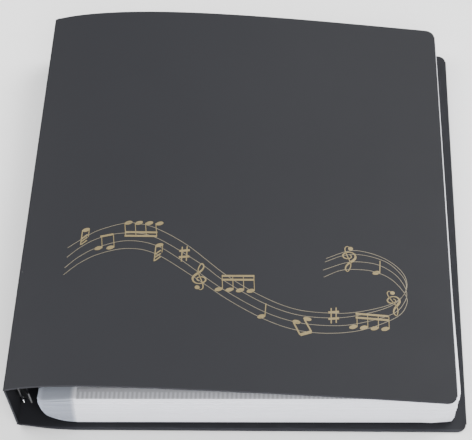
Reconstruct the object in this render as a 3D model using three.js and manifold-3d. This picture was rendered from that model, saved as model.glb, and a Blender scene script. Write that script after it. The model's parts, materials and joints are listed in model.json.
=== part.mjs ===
// Music folder: a wrap-around ring binder of one creased polypropylene sheet, with a spine-mounted
// four-ring mechanism and a thick stack of punched clear sleeves full of paper.
// Millimetres, +Z up. The spine is on the -X side, the fore edges on the +X side, and Y runs along the spine.

import * as THREE from 'three';
import { mergeVertices } from 'three/addons/utils/BufferGeometryUtils.js';
import Module from 'manifold-3d';

const wasm = await Module();
wasm.setup();

// Cover sheet
const sheet = 1.0; // thickness of the polypropylene sheet
const coverHeight = 310; // along the spine
const backCoverWidth = 250; // bottom crease to fore edge
const frontCoverReach = 247.3; // top crease to fore edge, measured flat
const spineHeight = 31; // crease to crease
const spineLean = 8.3; // degrees that the top crease leans outwards
const creaseGap = 0.35; // clearance between two panels at a crease
const backCurlRise = 3; // how far the back cover curls up at the bottom crease
const backCurlLength = 28; // over this distance from the crease
const frontCornerRadius = 7.6;
const backCornerRadius = 5.5;
const frontBulgeRun = [34.5, 124.5]; // where the front cover's two shaping handles stand, from the top crease
const frontBulgeRise = [11.3, 2.3]; // and how high they stand over the crease

// Sleeve stack
const seat = 0.3; // clearance between pieces that rest on each other
const stackThickness = 21.4;
const stackWidth = 231.5;
const stackHeight = 299;
const stackSpineInset = 14; // bottom crease to the punched edges
const stackCornerRadius = 8;
const marginThickness = 8.6; // stack thickness at the punched edges
const marginLift = 8; // how far the punched edges are lifted off the back cover by the rings
const marginCurl = 32; // width over which the sleeves rise to the rings
const marginTopRun = 81; // width over which the top of the stack slopes down to the punched edges
const punchDiameter = 6;

// Ring mechanism, in its own frame: U away from the spine panel, V up along the spine panel
const ringCount = 4;
const mechanismDrop = 2; // the mechanism sits this far below the middle of the spine panel
const ringPitch = 80;
const ringRadius = 11.8; // to the middle of the wire
const wireDiameter = 2.8;
const ringTipGap = 0.3;
const ringSweep = 165; // degrees that each half ring runs round from its closing tip
const punchOffset = 0.32; // share of the punched hole that lies inside the ring's middle line
const punchArc = [-95, 45]; // degrees of the ring that the punched channel runs along
const plateInset = 16; // from the ends of the spine panel to the ends of the plate
const plateLength = coverHeight - 2 * plateInset;
const plateWidth = 20;
const plateGauge = 0.7;
const plateFlank = 2.6; // height of the upright long edges
const plateCrown = 3.2; // rise of the arch over the long edges
const lipWidth = 1.1; // inward lip under the hinge plates
const hingePlateGauge = 0.8;
const hingeMiddleGap = 0.4; // between the two hinge plates
const slotWidth = 4.4; // ring slots in the arched plate, along Y
const slotReach = 5.4; // from the long edge towards the middle
const rivetSpacing = 200;
const rivetShank = 4;
const rivetPost = 6;
const rivetHeadDiameter = 9;
const rivetHeadHeight = 1.4;
const rivetInnerHead = 7.2;
const rivetInnerHeight = 1;
const leverWidth = 8;
const leverLegWidth = 3;
const leverLeg = 3.8; // from the pin to the tip under the hinge plates
const leverGauge = 0.8;
const leverRise = 7.4;
const leverSplay = 6.6; // how far the thumb tab flares out past the pin
const leverPinDiameter = 1.6;
const knuckleDiameter = 3.4;
const pinOverhang = 0.8;

const curveSteps = 26;
const roundSteps = 20;
const cutMargin = 5;

const rad = THREE.MathUtils.degToRad;

// Solids from and to the boolean library

function toSolid(geometry) {
  const bare = geometry.clone();
  bare.deleteAttribute('normal');
  bare.deleteAttribute('uv');
  const merged = mergeVertices(bare, 1e-4);
  return new wasm.Manifold(new wasm.Mesh({
    numProp: 3,
    vertProperties: new Float32Array(merged.attributes.position.array),
    triVerts: new Uint32Array(merged.index.array),
  }));
}

function toGeometry(solid) {
  const data = solid.getMesh();
  const geometry = new THREE.BufferGeometry();
  geometry.setAttribute('position', new THREE.BufferAttribute(new Float32Array(data.vertProperties), 3));
  geometry.setIndex(new THREE.BufferAttribute(new Uint32Array(data.triVerts), 1));
  geometry.computeVertexNormals();
  return geometry;
}

// A plane outline in X and Z, carried along Y and centred on y = 0
function alongY(shape, length) {
  const geometry = new THREE.ExtrudeGeometry(shape, { depth: length, bevelEnabled: false, curveSegments: roundSteps });
  geometry.rotateX(Math.PI / 2);
  geometry.translate(0, length / 2, 0);
  return geometry;
}

// A plane outline in X and Y, carried up from z = low to z = high
function alongZ(shape, low, high) {
  const geometry = new THREE.ExtrudeGeometry(shape, { depth: high - low, bevelEnabled: false, curveSegments: 8 });
  geometry.translate(0, 0, low);
  return geometry;
}

function box(low, high) {
  const size = high.map((value, axis) => value - low[axis]);
  const geometry = new THREE.BoxGeometry(...size);
  geometry.translate(...low.map((value, axis) => value + size[axis] / 2));
  return geometry;
}

// A round bar along one axis, between two places on it
function bar(axis, radius, from, to, centre) {
  const geometry = new THREE.CylinderGeometry(radius, radius, to - from, roundSteps);
  if (axis === 'x') geometry.rotateZ(Math.PI / 2);
  if (axis === 'z') geometry.rotateX(Math.PI / 2);
  const middle = (from + to) / 2;
  const place = { x: [middle, centre[0], centre[1]], y: [centre[0], middle, centre[1]], z: [centre[0], centre[1], middle] };
  geometry.translate(...place[axis]);
  return geometry;
}

// The outline of a sheet of even thickness: a line of points and the same line moved to its left
function sheetOutline(points, thickness) {
  const offset = points.map((point, i) => {
    const before = points[Math.max(i - 1, 0)];
    const after = points[Math.min(i + 1, points.length - 1)];
    const run = new THREE.Vector2().subVectors(after, before).normalize();
    return new THREE.Vector2(point.x - run.y * thickness, point.y + run.x * thickness);
  });
  return new THREE.Shape([...points, ...offset.reverse()]);
}

function panelOutline(left, right, height, rightRadius, leftRadius = 0) {
  const half = height / 2;
  const shape = new THREE.Shape();
  shape.moveTo(left + leftRadius, -half);
  shape.lineTo(right - rightRadius, -half);
  shape.absarc(right - rightRadius, -half + rightRadius, rightRadius, -Math.PI / 2, 0);
  shape.absarc(right - rightRadius, half - rightRadius, rightRadius, 0, Math.PI / 2);
  if (leftRadius > 0) {
    shape.absarc(left + leftRadius, half - leftRadius, leftRadius, Math.PI / 2, Math.PI);
    shape.absarc(left + leftRadius, -half + leftRadius, leftRadius, Math.PI, Math.PI * 1.5);
  } else {
    shape.lineTo(left, half);
    shape.lineTo(left, -half);
  }
  return shape;
}

// Places worked out from the driving dimensions. x = 0 is halfway across the whole folder.
const lean = rad(spineLean);
const upSpine = new THREE.Vector2(-Math.sin(lean), Math.cos(lean));
const offSpine = new THREE.Vector2(Math.cos(lean), Math.sin(lean));
const bottomCreaseX = (spineHeight * Math.sin(lean) - backCoverWidth) / 2;
const bottomCrease = new THREE.Vector2(bottomCreaseX, backCurlRise);
const topCrease = bottomCrease.clone().addScaledVector(upSpine, spineHeight);
const stackBottom = sheet + seat;
const stackTop = stackBottom + stackThickness;
const foreEdge = new THREE.Vector2(topCrease.x + frontCoverReach, stackTop + seat + sheet);
const stackLeft = bottomCreaseX + stackSpineInset;
const stackRight = stackLeft + stackWidth;

const hingePlateLow = seat + plateGauge + seat;
const hingeEdge = plateWidth / 2 - plateGauge - seat;
const flankTop = seat + plateFlank;
const crownTop = flankTop + plateCrown;
const ringRoot = hingePlateLow + hingePlateGauge + seat;
const ringCentre = ringRoot + Math.sqrt(ringRadius ** 2 - (hingeEdge - wireDiameter) ** 2);
const pinLine = plateLength / 2 + knuckleDiameter / 2 + seat;
const pinHeight = seat + knuckleDiameter / 2;
const ringPlaces = Array.from({ length: ringCount }, (_, i) => (i - (ringCount - 1) / 2) * ringPitch);

const materials = {
  cover: new THREE.MeshStandardMaterial({ color: 0x46484d, roughness: 0.55, metalness: 0 }),
  steel: new THREE.MeshStandardMaterial({ color: 0xc9ccd0, roughness: 0.18, metalness: 1 }),
  sleeves: new THREE.MeshStandardMaterial({ color: 0xdde0e4, roughness: 0.35, metalness: 0 }),
};

const folder = new THREE.Group();
const mechanism = new THREE.Group();
mechanism.rotation.y = -lean;
const mechanismHeight = spineHeight / 2 - mechanismDrop;
const spineInside = bottomCrease.clone().addScaledVector(upSpine, mechanismHeight).addScaledVector(offSpine, sheet);
mechanism.position.set(spineInside.x, 0, spineInside.y);
folder.add(mechanism);

function addPiece(group, name, geometry, material) {
  const piece = new THREE.Mesh(geometry, material);
  piece.name = name;
  group.add(piece);
  return piece;
}

// The two covers: a curved section carried along the spine, trimmed to the rounded outline

function frontCoverLine() {
  const curve = new THREE.CubicBezierCurve(
    topCrease,
    new THREE.Vector2(topCrease.x + frontBulgeRun[0], topCrease.y + frontBulgeRise[0]),
    new THREE.Vector2(topCrease.x + frontBulgeRun[1], topCrease.y + frontBulgeRise[1]),
    foreEdge,
  );
  return curve.getPoints(curveSteps);
}

function backCoverLine() {
  const points = [];
  const steps = curveSteps / 2;
  for (let i = 0; i <= steps; i += 1) {
    const share = i / steps;
    points.push(new THREE.Vector2(bottomCreaseX + backCurlLength * share, backCurlRise * (1 - share) ** 2));
  }
  points.push(new THREE.Vector2(bottomCreaseX + backCoverWidth, 0));
  return points;
}

function cover(line, creaseX, foreX, thickness, cornerRadius) {
  const section = toSolid(alongY(sheetOutline(line, thickness), coverHeight));
  const left = creaseX - cutMargin;
  const outline = panelOutline(left, foreX, coverHeight, cornerRadius);
  const top = Math.max(...line.map((point) => point.y)) + cutMargin;
  return toGeometry(section.intersect(toSolid(alongZ(outline, -cutMargin, top))));
}

// The front cover's line runs along its outside, so the sheet lies to the line's right
addPiece(folder, 'front_cover', cover(frontCoverLine(), topCrease.x, foreEdge.x, -sheet, frontCornerRadius), materials.cover);
const backFore = bottomCreaseX + backCoverWidth;
addPiece(folder, 'back_cover', cover(backCoverLine(), bottomCreaseX, backFore, sheet, backCornerRadius), materials.cover);

function spinePanel() {
  const trim = sheet + creaseGap;
  const low = -mechanismHeight + trim;
  const high = spineHeight - mechanismHeight - trim;
  let panel = toSolid(box([-sheet, -coverHeight / 2, low], [0, coverHeight / 2, high]));
  for (const side of [-1, 1]) {
    const hole = bar('x', rivetShank / 2 + seat, -sheet - cutMargin, cutMargin, [side * rivetSpacing / 2, 0]);
    panel = panel.subtract(toSolid(hole));
  }
  return toGeometry(panel);
}
addPiece(mechanism, 'spine_panel', spinePanel(), materials.cover);

// Arched plate: upright long edges with inward lips, a round crown, ring slots, rivet holes and pin ears
function ringPlate() {
  const half = plateWidth / 2;
  const crownRadius = (half ** 2 + plateCrown ** 2) / (2 * plateCrown);
  const crownMiddle = crownTop - crownRadius;
  const sweep = Math.asin(half / crownRadius);
  const inner = half - plateGauge;
  const innerRadius = crownRadius - plateGauge;
  const innerSweep = Math.asin(inner / innerRadius);
  const section = new THREE.Shape();
  section.moveTo(seat, -half);
  section.lineTo(flankTop, -half);
  section.absarc(crownMiddle, 0, crownRadius, -sweep, sweep);
  section.lineTo(seat, half);
  section.lineTo(seat, inner - lipWidth);
  section.lineTo(seat + plateGauge, inner - lipWidth);
  section.lineTo(seat + plateGauge, inner);
  section.absarc(crownMiddle, 0, innerRadius, innerSweep, -innerSweep, true);
  section.lineTo(seat + plateGauge, -inner);
  section.lineTo(seat + plateGauge, -inner + lipWidth);
  section.lineTo(seat, -inner + lipWidth);
  let plate = toSolid(alongY(section, plateLength));
  for (const side of [-1, 1]) {
    for (const end of [-1, 1]) {
      const from = end * (plateLength / 2 - cutMargin);
      const to = end * (pinLine + knuckleDiameter / 2);
      const wall = [side * inner, side * half].sort((a, b) => a - b);
      const run = [from, to].sort((a, b) => a - b);
      plate = plate.add(toSolid(box([seat, run[0], wall[0]], [flankTop, run[1], wall[1]])));
    }
    for (const y of ringPlaces) {
      const near = half - slotReach;
      const across = [side * near, side * (half + cutMargin)].sort((a, b) => a - b);
      const slotLow = ringRoot - seat;
      const slot = box([slotLow, y - slotWidth / 2, across[0]], [crownTop + cutMargin, y + slotWidth / 2, across[1]]);
      plate = plate.subtract(toSolid(slot));
    }
  }
  for (const end of [-1, 1]) {
    const rivetHole = bar('x', rivetShank / 2 + seat, seat, crownTop + cutMargin, [end * rivetSpacing / 2, 0]);
    const pinHole = bar('z', leverPinDiameter / 2 + seat, -half - cutMargin, half + cutMargin, [pinHeight, end * pinLine]);
    plate = plate.subtract(toSolid(rivetHole)).subtract(toSolid(pinHole));
  }
  return toGeometry(plate);
}
addPiece(mechanism, 'ring_plate', ringPlate(), materials.steel);

// Hinge plates: two flat strips under the arch, notched round the rivet posts
function hingePlate(side) {
  const across = [side * hingeMiddleGap / 2, side * hingeEdge].sort((a, b) => a - b);
  const half = plateLength / 2;
  const high = hingePlateLow + hingePlateGauge;
  let plate = toSolid(box([hingePlateLow, -half, across[0]], [high, half, across[1]]));
  for (const end of [-1, 1]) {
    const notch = bar('x', rivetPost / 2 + 2 * seat, -cutMargin, high + cutMargin, [end * rivetSpacing / 2, 0]);
    plate = plate.subtract(toSolid(notch));
  }
  return toGeometry(plate);
}
addPiece(mechanism, 'hinge_plate_upper', hingePlate(1), materials.steel);
addPiece(mechanism, 'hinge_plate_lower', hingePlate(-1), materials.steel);

// Half rings: round wire bent to an arc from the closing tip to its hinge plate
class RingLine extends THREE.Curve {
  constructor(side, y) {
    super();
    this.side = side;
    this.y = y;
  }

  getPoint(share, target = new THREE.Vector3()) {
    const start = ringTipGap / 2 / ringRadius;
    const angle = start + share * (rad(ringSweep) - start);
    const out = ringCentre + ringRadius * Math.cos(angle);
    return target.set(out, this.y, this.side * ringRadius * Math.sin(angle));
  }
}

function halfRing(side, y) {
  const section = new THREE.Shape();
  section.absarc(0, 0, wireDiameter / 2, 0, Math.PI * 2);
  const path = new RingLine(side, y);
  const wire = new THREE.ExtrudeGeometry(section, { steps: 18, curveSegments: 10, bevelEnabled: false, extrudePath: path });
  const below = box([-ringRadius, y - wireDiameter, -ringRadius * 2], [ringRoot, y + wireDiameter, ringRadius * 2]);
  return toGeometry(toSolid(wire).subtract(toSolid(below)));
}
for (const [i, y] of ringPlaces.entries()) {
  addPiece(mechanism, `ring_upper_${i + 1}`, halfRing(1, y), materials.steel);
  addPiece(mechanism, `ring_lower_${i + 1}`, halfRing(-1, y), materials.steel);
}

// End levers: a narrow leg under the hinge plates, a knuckle on the pin, and a flared thumb tab
function lever(end) {
  const at = (out, up) => new THREE.Vector2(up, out);
  const legHeight = seat + leverGauge;
  const leg = box([seat, -leverLeg, -leverLegWidth / 2], [legHeight, 0, leverLegWidth / 2]);
  const tabLine = [
    at(0, pinHeight),
    at(leverSplay * 0.3, pinHeight + leverRise * 0.35),
    at(leverSplay * 0.55, pinHeight + leverRise * 0.75),
    at(leverSplay, pinHeight + leverRise),
  ];
  const curve = new THREE.SplineCurve(tabLine);
  const tab = new THREE.ExtrudeGeometry(sheetOutline(curve.getPoints(10), leverGauge), {
    depth: leverWidth, bevelEnabled: false,
  });
  tab.translate(0, 0, -leverWidth / 2);
  const knuckle = bar('z', knuckleDiameter / 2, -leverWidth / 2, leverWidth / 2, [pinHeight, 0]);
  const hole = bar('z', leverPinDiameter / 2 + seat, -plateWidth, plateWidth, [pinHeight, 0]);
  const solid = toSolid(leg).add(toSolid(tab)).add(toSolid(knuckle)).subtract(toSolid(hole));
  const geometry = toGeometry(solid);
  if (end < 0) geometry.rotateX(Math.PI);
  geometry.translate(0, end * pinLine, 0);
  return geometry;
}

function leverPin(end) {
  const reach = plateWidth / 2 + pinOverhang;
  return bar('z', leverPinDiameter / 2, -reach, reach, [pinHeight, end * pinLine]);
}
for (const [where, end] of [['front', -1], ['rear', 1]]) {
  addPiece(mechanism, `lever_${where}`, lever(end), materials.steel);
  addPiece(mechanism, `lever_pin_${where}`, leverPin(end), materials.steel);
}

// Rivets: a domed head outside the spine panel, a post up to the arch and a flat head on its crown
function rivet(y) {
  const headRadius = rivetHeadDiameter / 2;
  const outside = -sheet - seat;
  const profile = [new THREE.Vector2(0, outside - rivetHeadHeight)];
  for (let i = 1; i <= 6; i += 1) {
    const angle = (i / 6) * (Math.PI / 2);
    profile.push(new THREE.Vector2(headRadius * Math.sin(angle), outside - rivetHeadHeight * Math.cos(angle)));
  }
  const shank = rivetShank / 2;
  const post = rivetPost / 2;
  const crownUnder = crownTop - plateGauge;
  profile.push(
    new THREE.Vector2(shank, outside),
    new THREE.Vector2(shank, seat),
    new THREE.Vector2(post, seat),
    new THREE.Vector2(post, crownUnder - 2 * seat),
    new THREE.Vector2(shank, crownUnder - 2 * seat),
    new THREE.Vector2(shank, crownTop + seat),
    new THREE.Vector2(rivetInnerHead / 2, crownTop + seat),
    new THREE.Vector2(rivetInnerHead / 2, crownTop + seat + rivetInnerHeight * 0.6),
    new THREE.Vector2(rivetInnerHead / 2 - rivetInnerHeight * 0.4, crownTop + seat + rivetInnerHeight),
    new THREE.Vector2(0, crownTop + seat + rivetInnerHeight),
  );
  const geometry = new THREE.LatheGeometry(profile, roundSteps);
  geometry.rotateZ(-Math.PI / 2);
  geometry.translate(0, y, 0);
  return toGeometry(toSolid(geometry));
}
addPiece(mechanism, 'rivet_front', rivet(-rivetSpacing / 2), materials.steel);
addPiece(mechanism, 'rivet_rear', rivet(rivetSpacing / 2), materials.steel);

// Sleeve stack: it lies flat on the back cover and rises to the rings, which pass through arc-shaped punch holes
function sleevePages() {
  const low = stackBottom + marginLift;
  const side = new THREE.Shape();
  side.moveTo(stackLeft, low);
  side.bezierCurveTo(
    stackLeft + marginCurl * 0.35, low,
    stackLeft + marginCurl * 0.5, stackBottom,
    stackLeft + marginCurl, stackBottom,
  );
  side.lineTo(stackRight, stackBottom);
  side.lineTo(stackRight, stackTop);
  side.lineTo(stackLeft + marginTopRun, stackTop);
  side.bezierCurveTo(
    stackLeft + marginTopRun * 0.5, stackTop,
    stackLeft + marginTopRun * 0.25, stackTop - (stackTop - low - marginThickness) * 0.45,
    stackLeft, low + marginThickness,
  );
  let stack = toSolid(alongY(side, stackHeight));
  const plan = panelOutline(stackLeft, stackRight, stackHeight, stackCornerRadius, stackCornerRadius);
  stack = stack.intersect(toSolid(alongZ(plan, -cutMargin, stackTop + cutMargin)));
  const inner = ringRadius - punchDiameter * punchOffset;
  const [arcStart, arcEnd] = punchArc.map(rad);
  const hole = new THREE.Shape();
  hole.absarc(ringCentre, 0, inner + punchDiameter, arcStart, arcEnd);
  hole.absarc(ringCentre, 0, inner, arcEnd, arcStart, true);
  for (const y of ringPlaces) {
    const cutter = alongY(hole, punchDiameter);
    cutter.translate(0, y, 0);
    cutter.rotateY(-lean);
    cutter.translate(spineInside.x, 0, spineInside.y);
    stack = stack.subtract(toSolid(cutter));
  }
  return toGeometry(stack);
}
addPiece(folder, 'sleeve_pages', sleevePages(), materials.sleeves);

export default folder;
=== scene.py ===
"""Music folder: charcoal plastic ring binder with a gold ornament of notes and a stack of clear sleeves."""

import json
import math

import bmesh
import bpy
import numpy as np
from mathutils import Euler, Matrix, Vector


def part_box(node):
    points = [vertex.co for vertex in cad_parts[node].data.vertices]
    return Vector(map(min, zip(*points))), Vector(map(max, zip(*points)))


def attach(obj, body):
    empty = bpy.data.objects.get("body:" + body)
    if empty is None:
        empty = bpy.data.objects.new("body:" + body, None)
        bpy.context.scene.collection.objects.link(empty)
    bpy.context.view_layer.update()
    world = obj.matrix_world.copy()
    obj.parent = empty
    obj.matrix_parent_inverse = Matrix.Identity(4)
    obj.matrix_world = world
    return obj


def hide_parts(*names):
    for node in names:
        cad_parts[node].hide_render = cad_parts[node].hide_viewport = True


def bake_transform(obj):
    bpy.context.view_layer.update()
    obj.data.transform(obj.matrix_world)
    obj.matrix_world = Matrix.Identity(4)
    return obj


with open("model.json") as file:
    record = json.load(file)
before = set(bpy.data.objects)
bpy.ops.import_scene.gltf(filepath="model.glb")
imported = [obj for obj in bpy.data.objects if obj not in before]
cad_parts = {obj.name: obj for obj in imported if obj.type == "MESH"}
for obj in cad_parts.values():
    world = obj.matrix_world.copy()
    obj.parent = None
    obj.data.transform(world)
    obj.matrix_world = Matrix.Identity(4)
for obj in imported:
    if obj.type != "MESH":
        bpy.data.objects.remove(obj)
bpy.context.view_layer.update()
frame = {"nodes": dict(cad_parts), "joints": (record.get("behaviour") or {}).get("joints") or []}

bl_info = {
    "name": "Music folder",
    "version": (1, 0, 0),
    "blender": (4, 5, 0),
    "location": "View3D > Sidebar > Folder",
    "description": "Builds the covers, ornament, sleeves and rings of a music folder",
    "category": "Add Mesh",
}

MM = 0.001
JOINTS = {joint["name"]: joint for joint in frame["joints"]}


def node_box(node):
    """Lowest and highest corner of a node, in millimetres."""
    low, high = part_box(node)
    return np.array(low) / MM, np.array(high) / MM


def joint_place(name):
    """Place of a joint in the X and Z plane, in millimetres."""
    place = JOINTS[name]["pos_m"]
    return np.array([place[0], place[2]]) / MM


TOP_CREASE = joint_place("front_cover_crease")
BOTTOM_CREASE = joint_place("back_cover_crease")
FRONT_LOW, FRONT_HIGH = node_box("front_cover")
BACK_FORE_EDGE = node_box("back_cover")[1][0]
STACK_LOW, STACK_HIGH = node_box("sleeve_pages")
HALF_HEIGHT = FRONT_HIGH[1]
SPINE_UP = (TOP_CREASE - BOTTOM_CREASE) / np.linalg.norm(TOP_CREASE - BOTTOM_CREASE)
SPINE_OUT = np.array([SPINE_UP[1], -SPINE_UP[0]])


# Sizes and colours that a user would change

class FolderSizes(bpy.types.PropertyGroup):
    """Sizes of the folder's pieces"""
    sheet: bpy.props.FloatProperty(
        name="Cover sheet", description="Thickness of the plastic sheet", default=1.0 * MM, unit="LENGTH"
    )
    warp: bpy.props.FloatProperty(
        name="Cover warp", description="How much higher the far end of the front cover bulges",
        default=1.8 * MM, unit="LENGTH",
    )
    sleeves: bpy.props.IntProperty(name="Sleeves", description="Number of sleeves in the stack", default=36)
    film_margin: bpy.props.FloatProperty(
        name="Punched margin", description="Width of the clear punched strip of a sleeve",
        default=19 * MM, unit="LENGTH",
    )
    foil: bpy.props.FloatProperty(
        name="Foil", description="Thickness of the printed foil", default=0.06 * MM, unit="LENGTH"
    )
    stave_width: bpy.props.FloatProperty(
        name="Stave line", description="Width of a stave line", default=0.34 * MM, unit="LENGTH"
    )
    wire: bpy.props.FloatProperty(
        name="Ring wire", description="Diameter of the ring wire", default=2.8 * MM, unit="LENGTH"
    )


class FolderColours(bpy.types.PropertyGroup):
    """Colours of the folder's pieces"""
    cover: bpy.props.FloatVectorProperty(
        name="Cover", description="Charcoal plastic", subtype="COLOR", size=3, default=(0.0172, 0.0177, 0.0208)
    )
    foil: bpy.props.FloatVectorProperty(
        name="Foil", description="Matt gold foil", subtype="COLOR", size=3, default=(0.225, 0.178, 0.088)
    )
    pale_foil: bpy.props.FloatVectorProperty(
        name="Stave foil", description="Paler foil of the thin stave lines", subtype="COLOR", size=3,
        default=(0.2, 0.175, 0.125),
    )
    paper: bpy.props.FloatVectorProperty(
        name="Paper", description="Paper seen through the sleeves", subtype="COLOR", size=3,
        default=(0.86, 0.87, 0.94),
    )
    film: bpy.props.FloatVectorProperty(
        name="Film", description="Stacked clear film", subtype="COLOR", size=3, default=(0.38, 0.41, 0.48)
    )


# Surfaces

MERGE_DISTANCE = 1e-7


def add_object(name, vertices, faces, material, smooth=True):
    """A mesh object at the origin from vertices in millimetres, doubles merged and faces turned outwards."""
    mesh = bpy.data.meshes.new(name)
    mesh.from_pydata((vertices * MM).tolist(), [], faces)
    work = bmesh.new()
    work.from_mesh(mesh)
    bmesh.ops.remove_doubles(work, verts=work.verts, dist=MERGE_DISTANCE)
    bmesh.ops.recalc_face_normals(work, faces=work.faces)
    work.to_mesh(mesh)
    work.free()
    if smooth:
        mesh.shade_smooth()
    mesh.materials.append(material)
    thing = bpy.data.objects.new(name, mesh)
    bpy.context.scene.collection.objects.link(thing)
    return thing


def loop_faces(stations, around):
    """Quads between neighbouring closed loops of points, numbered station by station."""
    row = np.arange(stations - 1)[:, None] * around
    here = np.arange(around)[None, :]
    ahead = (here + 1) % around
    quads = np.stack([row + here, row + ahead, row + around + ahead, row + around + here], axis=-1)
    return quads.reshape(-1, 4).tolist()


def joined(parts):
    """One vertex array and one face list from several (vertices, faces) pairs."""
    vertices, faces, start = [], [], 0
    for points, quads in parts:
        vertices.append(points)
        faces += [[corner + start for corner in quad] for quad in quads]
        start += len(points)
    return np.concatenate(vertices), faces


def round_ends(upper, lower, y_low, y_high, steps=3):
    """Adds stations at both ends of a leaf that thin it along a quarter circle to a closed line."""
    middle, half = (upper + lower) / 2, (upper - lower) / 2
    turns = np.linspace(0, math.pi / 2, steps + 1)[1:]

    def cap(end, inner):
        run = middle[end] - middle[inner]
        run = run / np.linalg.norm(run)
        reach = np.linalg.norm(half[end])
        centre = middle[end] + np.outer(np.sin(turns), run) * reach
        return centre, np.outer(np.cos(turns), half[end])

    first, first_half = cap(0, 1)
    last, last_half = cap(-1, -2)
    middle = np.concatenate([first[::-1], middle, last])
    half = np.concatenate([first_half[::-1], half, last_half])
    return middle + half, middle - half, np.pad(y_low, steps, "edge"), np.pad(y_high, steps, "edge")


def leaf(upper, lower, y_low, y_high, columns, edge_steps=4):
    """A thin closed leaf. Each station across X is a loop: upper line, round one edge, back, round the other.
    The edges are half circles as wide as the leaf is thick."""
    upper, lower, y_low, y_high = round_ends(upper, lower, y_low, y_high)
    turns = np.linspace(math.pi / 2, -math.pi / 2, edge_steps + 2)[1:-1]
    across = (1 - np.cos(np.linspace(0, math.pi, columns))) / 2
    share = np.concatenate([across, np.ones(edge_steps), across[::-1], np.zeros(edge_steps)])
    rise = np.concatenate([np.ones(columns), np.sin(turns), -np.ones(columns), -np.sin(turns)])
    out = np.concatenate([np.zeros(columns), np.cos(turns), np.zeros(columns), -np.cos(turns)])
    middle, half = (upper + lower) / 2, (upper - lower) / 2
    edge = np.linalg.norm(half, axis=1)[:, None]
    y = y_low[:, None] + edge + share[None, :] * (y_high - y_low)[:, None] - 2 * edge * share[None, :]
    y = y + out[None, :] * edge
    flat = middle[:, None, :] + half[:, None, :] * rise[None, :, None]
    points = np.stack([flat[..., 0], y, flat[..., 1]], axis=-1)
    return points.reshape(-1, 3), loop_faces(len(upper), len(share))


def bezier(controls, t):
    """Cubic curve through its first and last control point."""
    p = np.array(controls, float)
    t = np.asarray(t)[..., None]
    return (1 - t) ** 3 * p[0] + 3 * (1 - t) ** 2 * t * p[1] + 3 * (1 - t) * t ** 2 * p[2] + t ** 3 * p[3]


def ease(share):
    """Smooth step from 0 to 1."""
    share = np.clip(share, 0, 1)
    return share * share * (3 - 2 * share)


def corner_inset(distance, radius):
    """How far a rounded corner draws the side edge in, at a distance from the end edge."""
    into = np.clip(radius - distance, 0, radius)
    return radius - np.sqrt(np.maximum(radius ** 2 - into ** 2, 0))


def end_shares(count, crowd):
    """Shares from 0 to 1 that crowd towards 1, for stations round a rounded corner."""
    return 1 - (1 - np.linspace(0, 1, count)) ** crowd


def smooth_path(points, steps):
    """Smooth curve through points, each stretch a cubic with the neighbours' direction at its ends."""
    p = np.array(points, float)
    p = np.concatenate([[2 * p[0] - p[1]], p, [2 * p[-1] - p[-2]]])
    t = np.linspace(0, 1, steps, endpoint=False)[None, :, None]
    a, b, c, d = p[:-3, None], p[1:-2, None], p[2:-1, None], p[3:, None]
    curve = 2 * b + (c - a) * t + (2 * a - 5 * b + 4 * c - d) * t ** 2 + (3 * b - a - 3 * c + d) * t ** 3
    return np.concatenate([0.5 * curve.reshape(-1, p.shape[1]), p[-2:-1]])


# Shader nodes. A name with an underscore stands for the socket whose name has a space there.

SOCKET_KINDS = {1: "NodeSocketFloat", 3: "NodeSocketVector", 4: "NodeSocketColor"}


def feed(tree, node, *numbered, **named):
    """Feeds a node's inputs, by number or by name, from outputs of other nodes or with plain values."""
    for label, value in [*enumerate(numbered), *named.items()]:
        socket = node.inputs[label if isinstance(label, int) else label.replace("_", " ")]
        if isinstance(value, bpy.types.NodeSocket):
            tree.links.new(value, socket)
        else:
            socket.default_value = value
    return node.outputs


def add_node(tree, kind, settings, *numbered, **named):
    """Adds a shader node with its own settings, feeds its inputs and returns its outputs."""
    node = tree.nodes.new("ShaderNode" + kind)
    for name, value in settings.items():
        setattr(node, name, value)
    return feed(tree, node, *numbered, **named)


def calculate(tree, operation, *values):
    """The result of a math node."""
    return add_node(tree, "Math", {"operation": operation}, *values)["Value"]


def blend_colour(tree, mask, under, over):
    """Mixes a second colour over a first one by a mask."""
    return add_node(tree, "Mix", {"data_type": "RGBA"}, Factor=mask, A=under, B=over)["Result"]


def new_group(name, outputs, **inputs):
    """An empty shader node group: it takes a place and named values, vectors or colours with these defaults."""
    group = bpy.data.node_groups.new(name, "ShaderNodeTree")
    group.interface.new_socket(name="Vector", in_out="INPUT", socket_type="NodeSocketVector")
    for label, default in inputs.items():
        kind = SOCKET_KINDS[np.size(default)]
        socket = group.interface.new_socket(name=label.replace("_", " "), in_out="INPUT", socket_type=kind)
        socket.default_value = default
    for label in outputs:
        kind = "NodeSocketColor" if label == "Color" else "NodeSocketFloat"
        group.interface.new_socket(name=label, in_out="OUTPUT", socket_type=kind)
    return group, group.nodes.new("NodeGroupInput").outputs, group.nodes.new("NodeGroupOutput")


def drift_group():
    """Slow change between two colours over the surface, by cloud noise."""
    group, start, end = new_group(
        "slow_colour_drift", ["Color"], Scale=20.0, Dark=(0, 0, 0, 1), Light=(1, 1, 1, 1),
    )
    cloud = add_node(group, "TexNoise", {}, Vector=start["Vector"], Scale=start["Scale"], Detail=4)
    feed(group, end, Color=blend_colour(group, cloud["Fac"], start["Dark"], start["Light"]))
    return group


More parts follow.
